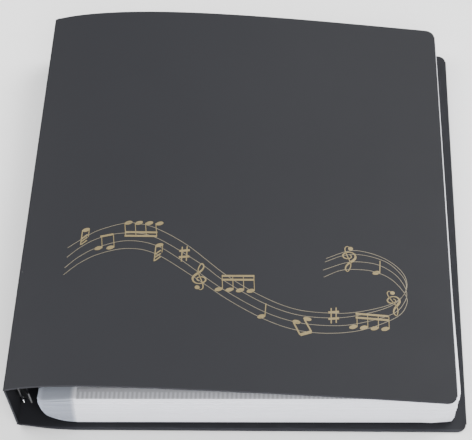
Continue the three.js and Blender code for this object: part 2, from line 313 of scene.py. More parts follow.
def grain_group():
    """Fine even grain: a height for a bump, and a roughness that wanders with a coarser cloud."""
    group, start, end = new_group(
        "fine_grain", ["Height", "Roughness"], Scale=1500.0, Rough_Low=0.4, Rough_High=0.6,
    )
    grain = add_node(group, "TexNoise", {}, Vector=start["Vector"], Scale=start["Scale"], Detail=2)
    cloud = add_node(group, "TexNoise", {}, Vector=start["Vector"], Scale=45, Detail=5)
    low, high = start["Rough Low"], start["Rough High"]
    roughness = add_node(group, "MapRange", {}, Value=cloud["Fac"], To_Min=low, To_Max=high)
    feed(group, end, Height=grain["Fac"], Roughness=roughness["Result"])
    return group


def speck_group():
    """A mask of tiny far-apart dust specks."""
    group, start, end = new_group("dust_specks", ["Mask"], Scale=60.0, Size=0.02)
    cells = add_node(group, "TexVoronoi", {}, Vector=start["Vector"], Scale=start["Scale"])
    feed(group, end, Mask=calculate(group, "LESS_THAN", cells["Distance"], start["Size"]))
    return group


def edge_highlight_group():
    """A mask of the strips beyond a distance from the middle along Y, at the sheet's cut edges, where a
    highlight is painted.
    """
    group, start, end = new_group("edge_highlight", ["Mask"], Edge=0.15)
    place = add_node(group, "SeparateXYZ", {}, Vector=start["Vector"])
    distance = calculate(group, "ABSOLUTE", place["Y"])
    feed(group, end, Mask=calculate(group, "GREATER_THAN", distance, start["Edge"]))
    return group


def span_group():
    """A value that rises smoothly from 0 to 1 between two places along an axis."""
    group, start, end = new_group("span_along_axis", ["Mask"], Axis=(1, 0, 0), From=0.0, To=0.1)
    place = add_node(group, "VectorMath", {"operation": "DOT_PRODUCT"}, start["Vector"], start["Axis"])
    span = add_node(
        group, "MapRange", {"interpolation_type": "SMOOTHSTEP"},
        Value=place["Value"], From_Min=start["From"], From_Max=start["To"],
    )
    feed(group, end, Mask=span["Result"])
    return group


def rib_group():
    """Even ribs across X: a value that waves between 0 and 1 once a period."""
    group, start, end = new_group("even_ribs", ["Mask"], Period=0.001)
    place = add_node(group, "SeparateXYZ", {}, Vector=start["Vector"])
    half = calculate(group, "MULTIPLY", start["Period"], 0.5)
    wave = calculate(group, "PINGPONG", place["X"], half)
    feed(group, end, Mask=calculate(group, "DIVIDE", wave, half))
    return group


def hole_group():
    """A mask of round holes in a row along Y, one pitch apart, of which one is at the given X and Y."""
    group, start, end = new_group("punched_holes", ["Mask"], X=0.0, Y=0.0, Pitch=0.08, Radius=0.003)
    place = add_node(group, "SeparateXYZ", {}, Vector=start["Vector"])
    aside = calculate(group, "SUBTRACT", place["X"], start["X"])
    along = calculate(group, "SUBTRACT", place["Y"], start["Y"])
    high = calculate(group, "MULTIPLY", start["Pitch"], 0.5)
    low = calculate(group, "MULTIPLY", start["Pitch"], -0.5)
    flat = add_node(group, "CombineXYZ", {}, X=aside, Y=calculate(group, "WRAP", along, high, low))
    reach = add_node(group, "VectorMath", {"operation": "LENGTH"}, flat["Vector"])
    feed(group, end, Mask=calculate(group, "LESS_THAN", reach["Value"], start["Radius"]))
    return group


GROUP_MAKERS = {
    "slow_colour_drift": drift_group,
    "fine_grain": grain_group,
    "dust_specks": speck_group,
    "edge_highlight": edge_highlight_group,
    "span_along_axis": span_group,
    "even_ribs": rib_group,
    "punched_holes": hole_group,
}


def use_group(tree, name, place, **values):
    """Places a shared group in a material, feeds it a place and its other inputs, and returns its outputs."""
    group = bpy.data.node_groups.get(name) or GROUP_MAKERS[name]()
    return add_node(tree, "Group", {"node_tree": group}, Vector=place, **values)


# Materials

PLASTIC_GRAIN = 1900.0  # grains a metre
EDGE_HIGHLIGHT_WIDTH = 0.45  # how wide the painted highlight along the cut edge is
SPECK_COLOUR = (0.3, 0.3, 0.3, 1)
# painted shade: the dark seen down the ring holes, painted on the margins, which have no holes
HOLE_SHADE_COLOUR = (0.03, 0.03, 0.035, 1)
DRAW_MARKS = (1, 0.05, 1)  # stretches a pattern along Y
LEAF_STREAKS = (0.05, 0.05, 3.2)  # flattens a pattern into thin layers
SEAM_FADE = (-0.003, 0.001)  # where the paper's white begins and is full, from the seam
EDGE_FADE = (0.002, -0.002)  # where the punched edge's pale line begins and is full, from the edge
# how far the painted shadow beyond the weld's ribs takes to fade in
WELD_SHADOW_FADE = 0.0015


def new_material(name):
    """A node material: itself, its node tree, its shader, and the place on the object."""
    material = bpy.data.materials.new(name)
    material.use_nodes = True
    tree = material.node_tree
    return material, tree, tree.nodes["Principled BSDF"], add_node(tree, "TexCoord", {})["Object"]


def scaled(colour, factor):
    """The colour made lighter or darker, with full alpha."""
    return (*[min(channel * factor, 1.0) for channel in colour], 1.0)


def drifting(tree, place, scale, colour, dark, light):
    """A colour that drifts slowly between a darker and a lighter shade of itself."""
    shades = {"Dark": scaled(colour, dark), "Light": scaled(colour, light)}
    return use_group(tree, "slow_colour_drift", place, Scale=scale, **shades)["Color"]


def grained(tree, place, scale, low, high):
    """A fine grain whose roughness wanders between two values."""
    return use_group(tree, "fine_grain", place, Scale=scale, Rough_Low=low, Rough_High=high)


def dress(tree, shader, colour, grain, strength, depth, **values):
    """Gives a shader its colour, a grain's roughness and bump, and further values."""
    relief = add_node(tree, "Bump", {}, Strength=strength, Distance=depth * MM, Height=grain["Height"])
    feed(tree, shader, Base_Color=colour, Roughness=grain["Roughness"], Normal=relief["Normal"], **values)


def cover_material():
    """Matt charcoal plastic: fine grain, slow colour drift, dust specks, and a painted highlight along the cut
    edges at both ends.
    """
    plain_colour = bpy.context.scene.folder_colours.cover
    material, tree, shader, place = new_material("charcoal_plastic")
    colour = drifting(tree, place, 9.0, plain_colour, 0.93, 1.08)
    # Painted highlight: the cut edges at both ends are made paler, as where light catches them.
    cut = use_group(tree, "edge_highlight", place, Edge=(HALF_HEIGHT - EDGE_HIGHLIGHT_WIDTH) * MM)
    colour = blend_colour(tree, cut["Mask"], colour, scaled(plain_colour, 1.8))
    specks = use_group(tree, "dust_specks", place, Scale=34.0, Size=0.0065)
    colour = blend_colour(tree, specks["Mask"], colour, SPECK_COLOUR)
    grain = grained(tree, place, PLASTIC_GRAIN, 0.5, 0.62)
    dress(tree, shader, colour, grain, 0.22, 0.08, Specular_IOR_Level=0.14)
    return material


def foil_material(name, foil_colour):
    """Matt foil, a little worn, over the same grain as the cover."""
    material, tree, shader, place = new_material(name)
    colour = drifting(tree, place, 160.0, foil_colour, 0.72, 1.2)
    grain = grained(tree, place, PLASTIC_GRAIN, 0.34, 0.5)
    dress(tree, shader, colour, grain, 0.2, 0.06, Metallic=0.25, Specular_IOR_Level=0.25)
    return material


def steel_material(name, level, rough):
    """Plated steel with faint draw marks along Y."""
    material, tree, shader, place = new_material(name)
    stretched = add_node(tree, "Mapping", {}, Vector=place, Scale=DRAW_MARKS)["Vector"]
    colour = drifting(tree, stretched, 90.0, (level, level * 1.01, level * 1.03), 0.87, 1.13)
    grain = grained(tree, stretched, 2400.0, rough, rough + 0.14)
    dress(tree, shader, colour, grain, 0.06, 0.04, Metallic=1.0)
    return material


def sleeve_material(name, plain_colour, dark, light, rough, masks=()):
    """Satin film: streaks from leaf to leaf, a faint orange-peel bump, and colours mixed over by masks."""
    material, tree, shader, place = new_material(name)
    layers = add_node(tree, "Mapping", {}, Vector=place, Scale=LEAF_STREAKS)["Vector"]
    colour = drifting(tree, layers, 160.0, plain_colour, dark, light)
    for group, values, over in masks:
        colour = blend_colour(tree, use_group(tree, group, place, **values)["Mask"], colour, over)
    dress(tree, shader, colour, grained(tree, place, 700.0, rough - 0.08, rough + 0.08), 0.1, 0.08)
    return material


def pocket_material():
    """White paper in clear film."""
    return sleeve_material("paper_pockets", bpy.context.scene.folder_colours.paper, 0.9, 1.08, 0.42)


def margin_material():
    """Stacked clear film, whiter at its edges and where the paper begins, with painted shade where the holes
    round the rings are.
    """
    colours = bpy.context.scene.folder_colours
    left = STACK_LOW[0] * MM
    seam = left + bpy.context.scene.folder_sizes.film_margin
    by_seam = {"From": seam + SEAM_FADE[0], "To": seam + SEAM_FADE[1]}
    by_edge = {"From": left + EDGE_FADE[0], "To": left + EDGE_FADE[1]}
    holes = {"X": HOLE_X * MM, "Y": RING_PITCH / 2 * MM, "Pitch": RING_PITCH * MM, "Radius": HOLE_RADIUS * MM}
    masks = (
        ("span_along_axis", by_seam, scaled(colours.paper, 0.95)),
        ("span_along_axis", by_edge, scaled(colours.film, 1.5)),
        ("punched_holes", holes, HOLE_SHADE_COLOUR),
    )
    return sleeve_material("clear_margins", colours.film, 0.72, 1.25, 0.26, masks)


def weld_material():
    """Greyish film, its grey a painted shadow of the front cover, with painted light and shade on the ribs in
    the welded part, which is at the near side: paler ribs and darker grooves.
    """
    paper = bpy.context.scene.folder_colours.paper
    end = (STACK_LOW[1] + STACK_SLIP + WELD_RIBS) * MM
    masks = (
        # painted light and shade on the ribs: paler crests, darker grooves
        ("even_ribs", {"Period": WELD_PERIOD * MM}, scaled(paper, 0.78)),
        # painted shadow: beyond the ribs the strip is grey, where the front cover's shadow falls on the top
        # sleeve
        ("span_along_axis", {"Axis": (0, 1, 0), "From": end, "To": end + WELD_SHADOW_FADE}, scaled(paper, 0.54)),
    )
    return sleeve_material("weld_painted_shade", paper, 0.46, 0.5, 0.35, masks)


def floor_material():
    """Pale even floor."""
    material, tree, shader, place = new_material("pale_floor")
    feed(tree, shader, Base_Color=drifting(tree, place, 3.0, (1, 1, 1), 0.93, 0.95), Roughness=0.9)
    return material


MATERIAL_MAKERS = {
    "charcoal_plastic": cover_material,
    "gold_foil": lambda: foil_material("gold_foil", bpy.context.scene.folder_colours.foil),
    "pale_foil": lambda: foil_material("pale_foil", bpy.context.scene.folder_colours.pale_foil),
    "plated_steel": lambda: steel_material("plated_steel", 0.69, 0.1),
    # a much darker steel, used on the levers
    "dark_steel": lambda: steel_material("dark_steel", 0.15, 0.28),
    "paper_pockets": pocket_material,
    "clear_margins": margin_material,
    "weld_painted_shade": weld_material,
    "pale_floor": floor_material,
}


def finish(name):
    """The material of that name, made on first use."""
    return bpy.data.materials.get(name) or MATERIAL_MAKERS[name]()


# The front cover's outside surface, which the ornament lies on. Lengths are in millimetres.

FRONT_HANDLES = ((34.5, 11.3), (124.5, 2.3))  # from the top crease to the inner controls of the cover's curve
FRONT_CORNER = 5.6
FORE_REACH = 0.05
FORE_SKEW = 0.6
FAR_TRIM = 1.6  # how far the cover's far edge draws in at its fore corner
FAR_TRIM_START = 0.6  # where that starts, as a share of the cover's width
WARP_SHIFT = 0.7  # under 1, the bulge lies nearer to the crease
NEAR_WARP = 0.78  # how deep the near end dips, as a share of how high the far end bulges
BACK_CORNER = 5.5
BACK_CURL = 28.0
BACK_SPREAD = 1.2  # how far the back cover spreads out at the near end, away from the spine
BACK_SPREAD_RUN = 35.0
BACK_SKEW = 0.55  # how far the back cover's fore edge leans out at the far end and in at the near end
BACK_SKEW_RUN = 210.0


def far_share(y):
    """0 at the near end of the folder and 1 at its far end."""
    return 0.5 + 0.5 * y / HALF_HEIGHT


def front_share(x):
    """0 at the spine side of the front cover and 1 at its fore edge."""
    return np.clip((x - FRONT_LOW[0]) / (FRONT_HIGH[0] - FRONT_LOW[0]), 0, 1)


def front_controls():
    """The four controls of the front cover's outside line, from the top crease to the fore edge."""
    sheet = bpy.context.scene.folder_sizes.sheet / MM
    fore_edge = (FRONT_HIGH[0], FRONT_LOW[2] + sheet)
    return [TOP_CREASE, *[TOP_CREASE + np.array(handle) for handle in FRONT_HANDLES], fore_edge]


def front_warp(x, y):
    """The cover bulges more at its far end than at its near end, and not at all at the crease and fore edge."""
    warp = bpy.context.scene.folder_sizes.warp / MM
    rise = (1 + NEAR_WARP) * far_share(y) - NEAR_WARP
    return warp * rise * np.sin(math.pi * front_share(x) ** WARP_SHIFT) ** 2


def fore_lean(x, y):
    """The cover reaches a little further at its near end, as the sheet lies slightly askew."""
    return front_share(x) ** 2 * (FORE_REACH - FORE_SKEW * y / HALF_HEIGHT)


def on_front(run, y, lift):
    """A place on the front cover: run from the top crease, y along the spine, and lift along the normal."""
    line = bezier(front_controls(), np.linspace(0, 1, 400))
    x = TOP_CREASE[0] + run
    flat = x - fore_lean(x, y)
    z = np.interp(flat, line[:, 0], line[:, 1])
    slope = np.interp(flat, line[:, 0], np.gradient(line[:, 1], line[:, 0]))
    size = np.sqrt(1 + slope ** 2)
    return np.stack([x - lift * slope / size, y, z + front_warp(flat, y) + lift / size], axis=-1)


def offset_line(line, distance):
    """The line moved along its own normal."""
    step = np.gradient(line, axis=0)
    step /= np.linalg.norm(step, axis=1)[:, None]
    return line + np.stack([-step[:, 1], step[:, 0]], axis=1) * distance


def cover_leaf(line, thickness, fore_x, radius, columns):
    """A cover from its outside line in X and Z: a leaf of even thickness, its fore corners rounded in plan."""
    inside = offset_line(line, thickness)
    upper, lower = (line, inside) if thickness < 0 else (inside, line)
    inset = corner_inset(fore_x - line[:, 0], radius)
    return leaf(upper, lower, -HALF_HEIGHT + inset, HALF_HEIGHT - inset, columns)


def front_sheet(sheet):
    """The front cover: a leaf along its cubic curve, warped, leaning and trimmed towards its fore edge."""
    line = bezier(front_controls(), end_shares(96, 1.7))
    points, faces = cover_leaf(line, -sheet, FRONT_HIGH[0], FRONT_CORNER, 90)
    points[:, 2] += front_warp(points[:, 0], points[:, 1])
    points[:, 0] += fore_lean(points[:, 0], points[:, 1])
    trim = np.clip((front_share(points[:, 0]) - FAR_TRIM_START) / (1 - FAR_TRIM_START), 0, 1) ** 2
    points[:, 1] -= FAR_TRIM * trim * far_share(points[:, 1])
    return points, faces


def back_sheet(sheet):
    """The back cover: a flat leaf that curls up to its crease along a parabola, a little spread and skewed."""
    run = end_shares(110, 1.7) * (BACK_FORE_EDGE - BOTTOM_CREASE[0])
    rise = BOTTOM_CREASE[1] * np.clip(1 - run / BACK_CURL, 0, 1) ** 2
    line = np.stack([BOTTOM_CREASE[0] + run, rise], axis=1)
    points, faces = cover_leaf(line, sheet, BACK_FORE_EDGE, BACK_CORNER, 60)
    beyond = points[:, 0] - BOTTOM_CREASE[0]
    points[:, 0] += BACK_SKEW * ease(beyond / BACK_SKEW_RUN) * points[:, 1] / HALF_HEIGHT
    points[:, 1] -= BACK_SPREAD * ease(beyond / BACK_SPREAD_RUN) * (1 - far_share(points[:, 1]))
    return points, faces


class FOLDER_OT_covers(bpy.types.Operator):
    """Makes the front and the back cover as bent plastic sheets with rounded cut edges"""
    bl_idname = "folder.covers"
    bl_label = "Covers"

    def execute(self, context):
        sheet = context.scene.folder_sizes.sheet / MM
        for node, maker in (("front_cover", front_sheet), ("back_cover", back_sheet)):
            cover = add_object(f"{node}_sheet", *maker(sheet), finish("charcoal_plastic"))
            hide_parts(node)
            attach(cover, node)
        return {"FINISHED"}


CREASE_LEG = 2.6  # length of a crease strip's leg, as a share of the sheet's thickness
CREASE_FULL = 0.95  # thickness of a crease strip at the crease, as a share of the sheet's thickness
CREASE_THIN = 0.12  # how much of each leg stays thin


def crease_band(name, crease, outside_dir, cover_dir, spine_dir):
    """A strip round a crease: two flat legs and a small round between them, a little thinner than the sheet.
    It runs the whole height of the folder, as a closed skin of even thickness."""
    sheet = bpy.context.scene.folder_sizes.sheet / MM
    leg = CREASE_LEG * sheet
    t = np.linspace(0, 1, 15)[:, None]
    first, last = crease + cover_dir * leg, crease + spine_dir * leg
    outer = (1 - t) ** 4 * first + t ** 4 * last + (1 - (1 - t) ** 4 - t ** 4) * crease
    depth = CREASE_FULL * np.sin(math.pi * np.clip(t, CREASE_THIN, 1 - CREASE_THIN))
    ends = np.full(len(outer), HALF_HEIGHT)
    points, faces = leaf(outer, outer - outside_dir * sheet * depth, -ends, ends, 24, 2)
    return add_object(name, points, faces, finish("charcoal_plastic"))


class FOLDER_OT_creases(bpy.types.Operator):
    """Bridges the covers and the spine panel with the thinned creases of the one sheet"""
    bl_idname = "folder.creases"
    bl_label = "Creases"

    def execute(self, context):
        controls = front_controls()
        along_front = (controls[1] - controls[0]) / np.linalg.norm(controls[1] - controls[0])
        along_back = np.array([1.0, -2 * BOTTOM_CREASE[1] / BACK_CURL])
        along_back /= np.linalg.norm(along_back)
        for name, crease, cover_dir, spine_dir, body in (
            ("top_crease", TOP_CREASE, along_front, -SPINE_UP, "front_cover"),
            ("bottom_crease", BOTTOM_CREASE, along_back, SPINE_UP, "back_cover"),
        ):
            outside = -(cover_dir + spine_dir) / np.linalg.norm(cover_dir + spine_dir)
            band = crease_band(name, crease, outside, cover_dir, spine_dir)
            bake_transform(band)
        return {"FINISHED"}


# Gold ornament: places are (run from the top crease, y), in millimetres

# The stave's points were picked in the photograph and turned into millimetres by a separate script.
# 34 of the 77 stand as it printed them, and 25 more lie within 0.5 mm of a printed one.
STAVE = (
    ((26.7, -52.8), (33.6, -46.9), (43.5, -39.5), (58, -33.8), (66, -33.6), (77.7, -37.3), (96.2, -49.6),
     (119, -70.9), (139, -85.1), (158.5, -93.8), (178, -95.4), (194, -93.4), (212.6, -86.3), (221.2, -77.5),
     (222.6, -67), (218, -57.6), (208.1, -49.9), (196.2, -46.4), (188, -47.6), (176.4, -54)),
    ((26.8, -60.3), (34.1, -52.7), (44, -45.8), (58.6, -41.5), (76.6, -44), (104, -63.1), (117, -74.5),
     (139, -89.6), (158.6, -97.7), (178, -99), (194.2, -95.9), (212.5, -87.7), (221, -77.5), (221.8, -67),
     (214, -55.8), (204.8, -51), (194.8, -49.3), (186, -51), (175.8, -56.7)),
    ((26.3, -68.3), (34, -60), (44.6, -52.7), (60.5, -47.5), (77, -50.2), (93, -61.2), (115.8, -80.4),
     (139, -95.8), (158.6, -103.3), (178, -104.7), (194, -102), (213.7, -93.4), (220.9, -84), (222.3, -75),
     (217.3, -64.3), (208, -57), (198, -55), (188, -56.3), (174.7, -63.1)),
    ((26, -73.8), (34.4, -65.2), (45, -58.2), (60.9, -53.6), (77.4, -56.8), (100.2, -73.2), (121.9, -90.3),
     (142.5, -103), (160, -109.3), (178, -110.3), (197, -106.3), (215.6, -95.9), (221.9, -86.5),
     (221.7, -78.1), (214.3, -67.3), (204.6, -62), (194.6, -61), (184.7, -62.6), (175.1, -68.5)),
)

# One stroke of a G clef of height 1: place across, place up, and width of the stroke
CLEF = (
    (0.0, 0.03, 0.02), (0.05, 0.0, 0.025), (0.11, 0.05, 0.03), (0.12, 0.15, 0.03), (0.09, 0.28, 0.03),
    (0.03, 0.45, 0.03), (-0.03, 0.62, 0.03), (-0.045, 0.76, 0.03), (-0.01, 0.9, 0.03), (0.05, 1.0, 0.025),
    (0.105, 0.93, 0.035), (0.1, 0.82, 0.045), (0.03, 0.7, 0.06), (-0.08, 0.59, 0.075), (-0.17, 0.48, 0.07),
    (-0.185, 0.37, 0.055), (-0.13, 0.27, 0.045), (-0.02, 0.23, 0.035), (0.1, 0.26, 0.04),
    (0.185, 0.36, 0.045), (0.15, 0.46, 0.045), (0.05, 0.49, 0.035), (-0.05, 0.45, 0.03),
    (-0.065, 0.38, 0.03), (-0.01, 0.32, 0.025),
)
CLEF_BALL = (-0.045, 0.085, 0.072)  # place across, place up, and radius
HEAD = (2.35, 1.4)
HEAD_TILT = 0.42
LEAN = -0.11  # how far the stems of the left notes lean back, for each unit of their height
STEM = 0.42
STEM_SIDE = 0.96  # where a beamed note's stem meets its head, as a share of the head's half length
LONE_STEM_SIDE = 0.85  # the same for a note on its own
BEAM = 1.45
BEAM_STEP = 2.9
NOTE_STEP = 6.05
TWIST = 0.22
FLAG = (3.2, 3.3)  # how far a flag of a short note runs, across and up
FLAG_START = (0.3, -0.6)
FLAG_SHARES = (0.48, 0.28, 0.08)  # where the flags leave the stem, as shares of its height
HOOK = 5.6  # length of the short stroke on the right of that note
SHARP_STROKE = (1.4, 5.7)  # half the space between a sharp's strokes, and half their length
SHARP_BAR = (3.0, 2.4)  # half the length of a sharp's bars, and half the space between them
FOIL_GAP = 0.01  # how far the foil's underside lies over the cover
STEM_LIFT = 0.005  # the strokes that cross others lie a little higher
BEAM_LIFT = 0.01


def ribbon(path, width, lift=0.0):
    """A flat strip of foil along a path on the cover, as a closed box section carried along it."""
    foil = bpy.context.scene.folder_sizes.foil / MM
    path = np.array(path, float)
    if len(path) == 2:
        path = path[0] + np.linspace(0, 1, 6)[:, None] * (path[1] - path[0])
    side = np.gradient(path, axis=0)
    side = np.stack([-side[:, 1], side[:, 0]], axis=1) / np.linalg.norm(side, axis=1)[:, None]
    half = np.broadcast_to(np.asarray(width, float) / 2, (len(path),))[:, None]
    left, right = path + side * half, path - side * half
    loop = [
        on_front(edge[:, 0], edge[:, 1], height + lift)
        for edge, height in ((left, FOIL_GAP), (right, FOIL_GAP), (right, foil), (left, foil))
    ]
    points = np.stack(loop, axis=1)
    caps = [[0, 1, 2, 3], [4 * len(path) - 4 + i for i in (3, 2, 1, 0)]]
    return points.reshape(-1, 3), loop_faces(len(path), 4) + caps


def dot(centre, axes, tilt, lift=0.0):
    """A flat oval of foil: rings of points from its top's middle, over its edge, to its underside's middle."""
    foil = bpy.context.scene.folder_sizes.foil / MM
    turn = np.linspace(0, 2 * math.pi, 28, endpoint=False)
    share = np.array([0.0, 0.5, 1.0, 1.0, 0.0])[:, None]
    height = np.array([foil, foil, foil, FOIL_GAP, FOIL_GAP])[:, None] + lift
    along, across = share * axes[0] * np.cos(turn), share * axes[1] * np.sin(turn)
    run = centre[0] + along * math.cos(tilt) - across * math.sin(tilt)
    y = centre[1] + along * math.sin(tilt) + across * math.cos(tilt)
    return on_front(run, y, height).reshape(-1, 3), loop_faces(len(share), len(turn))


def turned(points, centre, angle, size):
    """Points turned about the origin, scaled and moved to a centre."""
    c, s = math.cos(angle), math.sin(angle)
    return np.array(points, float) * size @ np.array([[c, s], [-s, c]]) + np.array(centre)


def row_of_heads(x, y, step=NOTE_STEP):
    """The places of four note heads in a row."""
    return [(x + step * i, y) for i in range(4)]


def beamed(heads, beam, beams, down=False, lean=0.0):
    """Notes that share beams: a head, a stem from each head's side to the first beam, and the beams."""
    (x0, y0), (x1, y1) = beam
    side = -1 if down else 1
    parts = []
    for head in heads:
        x = head[0] + side * HEAD[0] * STEM_SIDE
        end = y0 + (y1 - y0) * (x - x0) / (x1 - x0)
        parts.append(dot(head, HEAD, HEAD_TILT))
        parts.append(ribbon([(x, head[1]), (x + lean * (end - head[1]), end)], STEM, STEM_LIFT))
    for i in range(beams):
        shift = -side * BEAM_STEP * i
        parts.append(ribbon([(x0 - STEM / 2, y0 + shift), (x1 + STEM / 2, y1 + shift)], BEAM, BEAM_LIFT))
    return parts


def flagged(head, tip):
    """A turned-over short note: head on top, stem down its left side and three slanting flags on the right."""
    x = head[0] - HEAD[0] * LONE_STEM_SIDE
    hook = [(head[0] + HEAD[0] * 0.8, head[1]), (head[0] + HEAD[0] * 0.75, head[1] - HOOK)]
    parts = [
        dot(head, HEAD, HEAD_TILT),
        ribbon([(x, head[1]), tip], STEM * 1.5, STEM_LIFT),
        ribbon(hook, STEM, STEM_LIFT),
    ]
    for share in FLAG_SHARES:
        low = (tip[0] + FLAG_START[0], tip[1] + (head[1] - tip[1]) * share + FLAG_START[1])
        parts.append(ribbon([low, (low[0] + FLAG[0], low[1] + FLAG[1])], STEM * 1.9, BEAM_LIFT))
    return parts


def sharp(centre):
    """Two upright strokes and two heavier rising bars."""
    parts = []
    for side in (-1, 1):
        x = centre[0] + side * SHARP_STROKE[0]
        low, high = centre[1] - SHARP_STROKE[1] - 0.1, centre[1] + SHARP_STROKE[1] - 0.1
        parts.append(ribbon([(x, low + side * 0.3), (x, high + side * 0.3)], STEM * 1.6, STEM_LIFT))
        y = centre[1] + side * SHARP_BAR[1]
        bar = [(centre[0] - SHARP_BAR[0], y - 0.5), (centre[0] + SHARP_BAR[0], y + 0.5)]
        parts.append(ribbon(bar, BEAM * 1.1, BEAM_LIFT))
    return parts


def clef(centre, height, angle):
    """A G clef: one curled stroke of changing width, and a ball on its lower end."""
    path = smooth_path(CLEF, 8)
    middle = np.array([0, 0.5])
    line = turned(path[:, :2] - middle, centre, angle, height)
    ball = turned([np.array(CLEF_BALL[:2]) - middle], centre, angle, height)[0]
    size = CLEF_BALL[2] * height
    return [ribbon(line, path[:, 2] * height, BEAM_LIFT), dot(ball, (size, size), 0, BEAM_LIFT)]


def upright(head, tip):
    """A quarter note: head and stem."""
    foot = (head[0] + HEAD[0] * LONE_STEM_SIDE, head[1])
    return [dot(head, HEAD, HEAD_TILT), ribbon([foot, tip], STEM * 1.3, STEM_LIFT)]


def turned_pair():
    """Two beamed notes turned over and tilted, hanging on the lower stave."""
    heads, beam = ((159.8, -103.3), (165.9, -100.7)), ((161.9, -112.6), (168.2, -109.9))
    parts = [ribbon(beam, BEAM * 1.4, BEAM_LIFT)]
    for head, end in zip(heads, beam):
        start = (head[0] - HEAD[0] * 0.7, head[1] - 0.6)
        parts += [dot(head, HEAD, -TWIST), ribbon([start, end], STEM * 2.2, STEM_LIFT)]
    return parts


class FOLDER_OT_ornament(bpy.types.Operator):
    """Lays the gold foil ornament on the front cover: a swinging stave with common music signs"""
    bl_idname = "folder.ornament"
    bl_label = "Gold ornament"

    def execute(self, context):
        width = context.scene.folder_sizes.stave_width / MM
        lines = [ribbon(smooth_path(line, 12), width) for line in STAVE]
        signs = flagged((36.3, -39), (34, -50.9))
        signs += beamed([(44.6, -53.5), (51.5, -53)], ((45.3, -44.5), (52.2, -42.5)), 1, lean=LEAN)
        signs += beamed(row_of_heads(60.9, -33.2), ((59.4, -43.6), (77.9, -43.3)), 2, True, LEAN)
        signs += flagged((79.9, -50.3), (77.5, -62.9))
        signs += sharp((94.6, -56.2))
        signs += clef((104, -73.1), 20, 0)
        signs += beamed(row_of_heads(115.3, -82.1), ((117, -71.9), (135.2, -70.7)), 2, lean=LEAN / 2)
        signs += upright((140, -100.7), (142.4, -91))
        signs += turned_pair()
        signs += sharp((180.7, -96.9))
        signs += beamed(row_of_heads(191.6, -104.6, 6.0), ((193.3, -94.6), (211.4, -95.1)), 2)
        signs += clef((215.2, -85), 18.5, math.pi + TWIST)
        signs += clef((189.8, -53.2), 19.6, math.pi)
        signs += upright((205.4, -62.6), (207.7, -53))
        for name, parts, material in (("stave_lines", lines, "pale_foil"), ("music_signs", signs, "gold_foil")):
            points, faces = joined(parts)
            foil = add_object(name, points, faces, finish(material), smooth=False)
            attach(foil, "front_cover")
        return {"FINISHED"}


# Sleeves: leaves between the underside and the top of the stack. Lengths are in millimetres.

MARGIN_CURL = 32.0
MARGIN_TOP_RUN = 81.0
MARGIN_THICKNESS = 8.6
MARGIN_LIFT = 8.0
UNDER_HANDLES = (0.35, 0.5)  # inner controls of the underside's curl, as shares of its run
OVER_HANDLES = (0.25, 0.5)  # inner controls of the top's slope, as shares of its run
OVER_DROP = 0.45  # how far the first of them stays under the top, as a share of the slope's height
PUNCHED_CORNER = 2.5
OPEN_CORNER = 3.5
EDGE_INSET = 0.6  # how far the leaves' edges stay inside the stack's box across
END_INSET = 0.45  # and along it
END_SLIPS = (0.5, 0.8)  # how far a leaf's near and far end slip, as shares of its draw
POCKET_SLIP = 0.4
POCKET_PLACE = (0.04, 0.92)  # slack under a pocket and its thickness, as shares of a sleeve's height
MARGIN_PLACE = (0.22, 0.56)
STACK_SLIP = -2.7  # the stack lies a little towards the near end
STACK_TURN = 1.4  # and is turned a little: its fore edges are further from the near end
NEAR_SAG_START = -127.0
NEAR_SAG_LENGTH = 20.0
NEAR_BOW = 2.2
NEAR_BOW_SPAN = 1.35  # where the bow would end, as a share of the stack's height
NEAR_BOW_START = -100.0
NEAR_ROUND = 4.0
NEAR_FLARE = 0.9
NEAR_FLARE_SPAN = 0.28  # as a share of the stack's length
NEAR_CURL = 18.0
NEAR_CURL_POWER = 1.9
NEAR_SHOULDER = 20.6
NEAR_SHOULDER_RUN = 24.0
SHEAR = 2.6
SHEAR_MIDDLE = 0.76
STACK_SKEW = 1.75  # how far the fore edges turn in at the far end
OVERSHOOT = 0.02  # how far leaves may stand out of the stack, as a share of its height
CRUMPLE = 0.6
CRUMPLE_START = 26.0  # how far from the fore edge the crumpled corner begins
CRUMPLE_RUN = 22.0
CRUMPLE_WAVES = ((0.62, 7.0), (0.3, 9.0))  # radians for each millimetre across, and over the stack's height
# width of the strip: the ribbed weld, and beyond it a band painted with the front cover's shadow
WELD_WIDTH = 8.5
WELD_RIBS = 4.6  # width of the ribbed part of the strip, at its near side
WELD_PERIOD = 2.5
WELD_HEIGHT = 0.1
WELD_BASE = 0.06  # how far the strip stands over the top sleeve between its ribs
WELD_SINK = 0.1  # how far it reaches into that sleeve, and stays inside its near edge
WELD_POWER = 0.6  # under 1, the ribs are wider than the grooves
WELD_STATIONS = 6  # across one rib
WELD_INSETS = (1.2, 6.0)  # from the seam to the strip's start, and from its end to the fore edge


def near_heights(x):
    """Underside and top of the stack at its near end, where the sleeves hang free of the rings."""
    left, low, top = STACK_LOW[0], STACK_LOW[2], STACK_HIGH[2]
    fall = np.clip((left + NEAR_CURL - x) / NEAR_CURL, 0, 1)
    rise = np.clip((left + NEAR_SHOULDER_RUN - x) / NEAR_SHOULDER_RUN, 0, 1)
    under = low + MARGIN_LIFT * fall ** NEAR_CURL_POWER + corner_inset(x - left, NEAR_ROUND)
    return under, top - (top - NEAR_SHOULDER) * ease(rise)


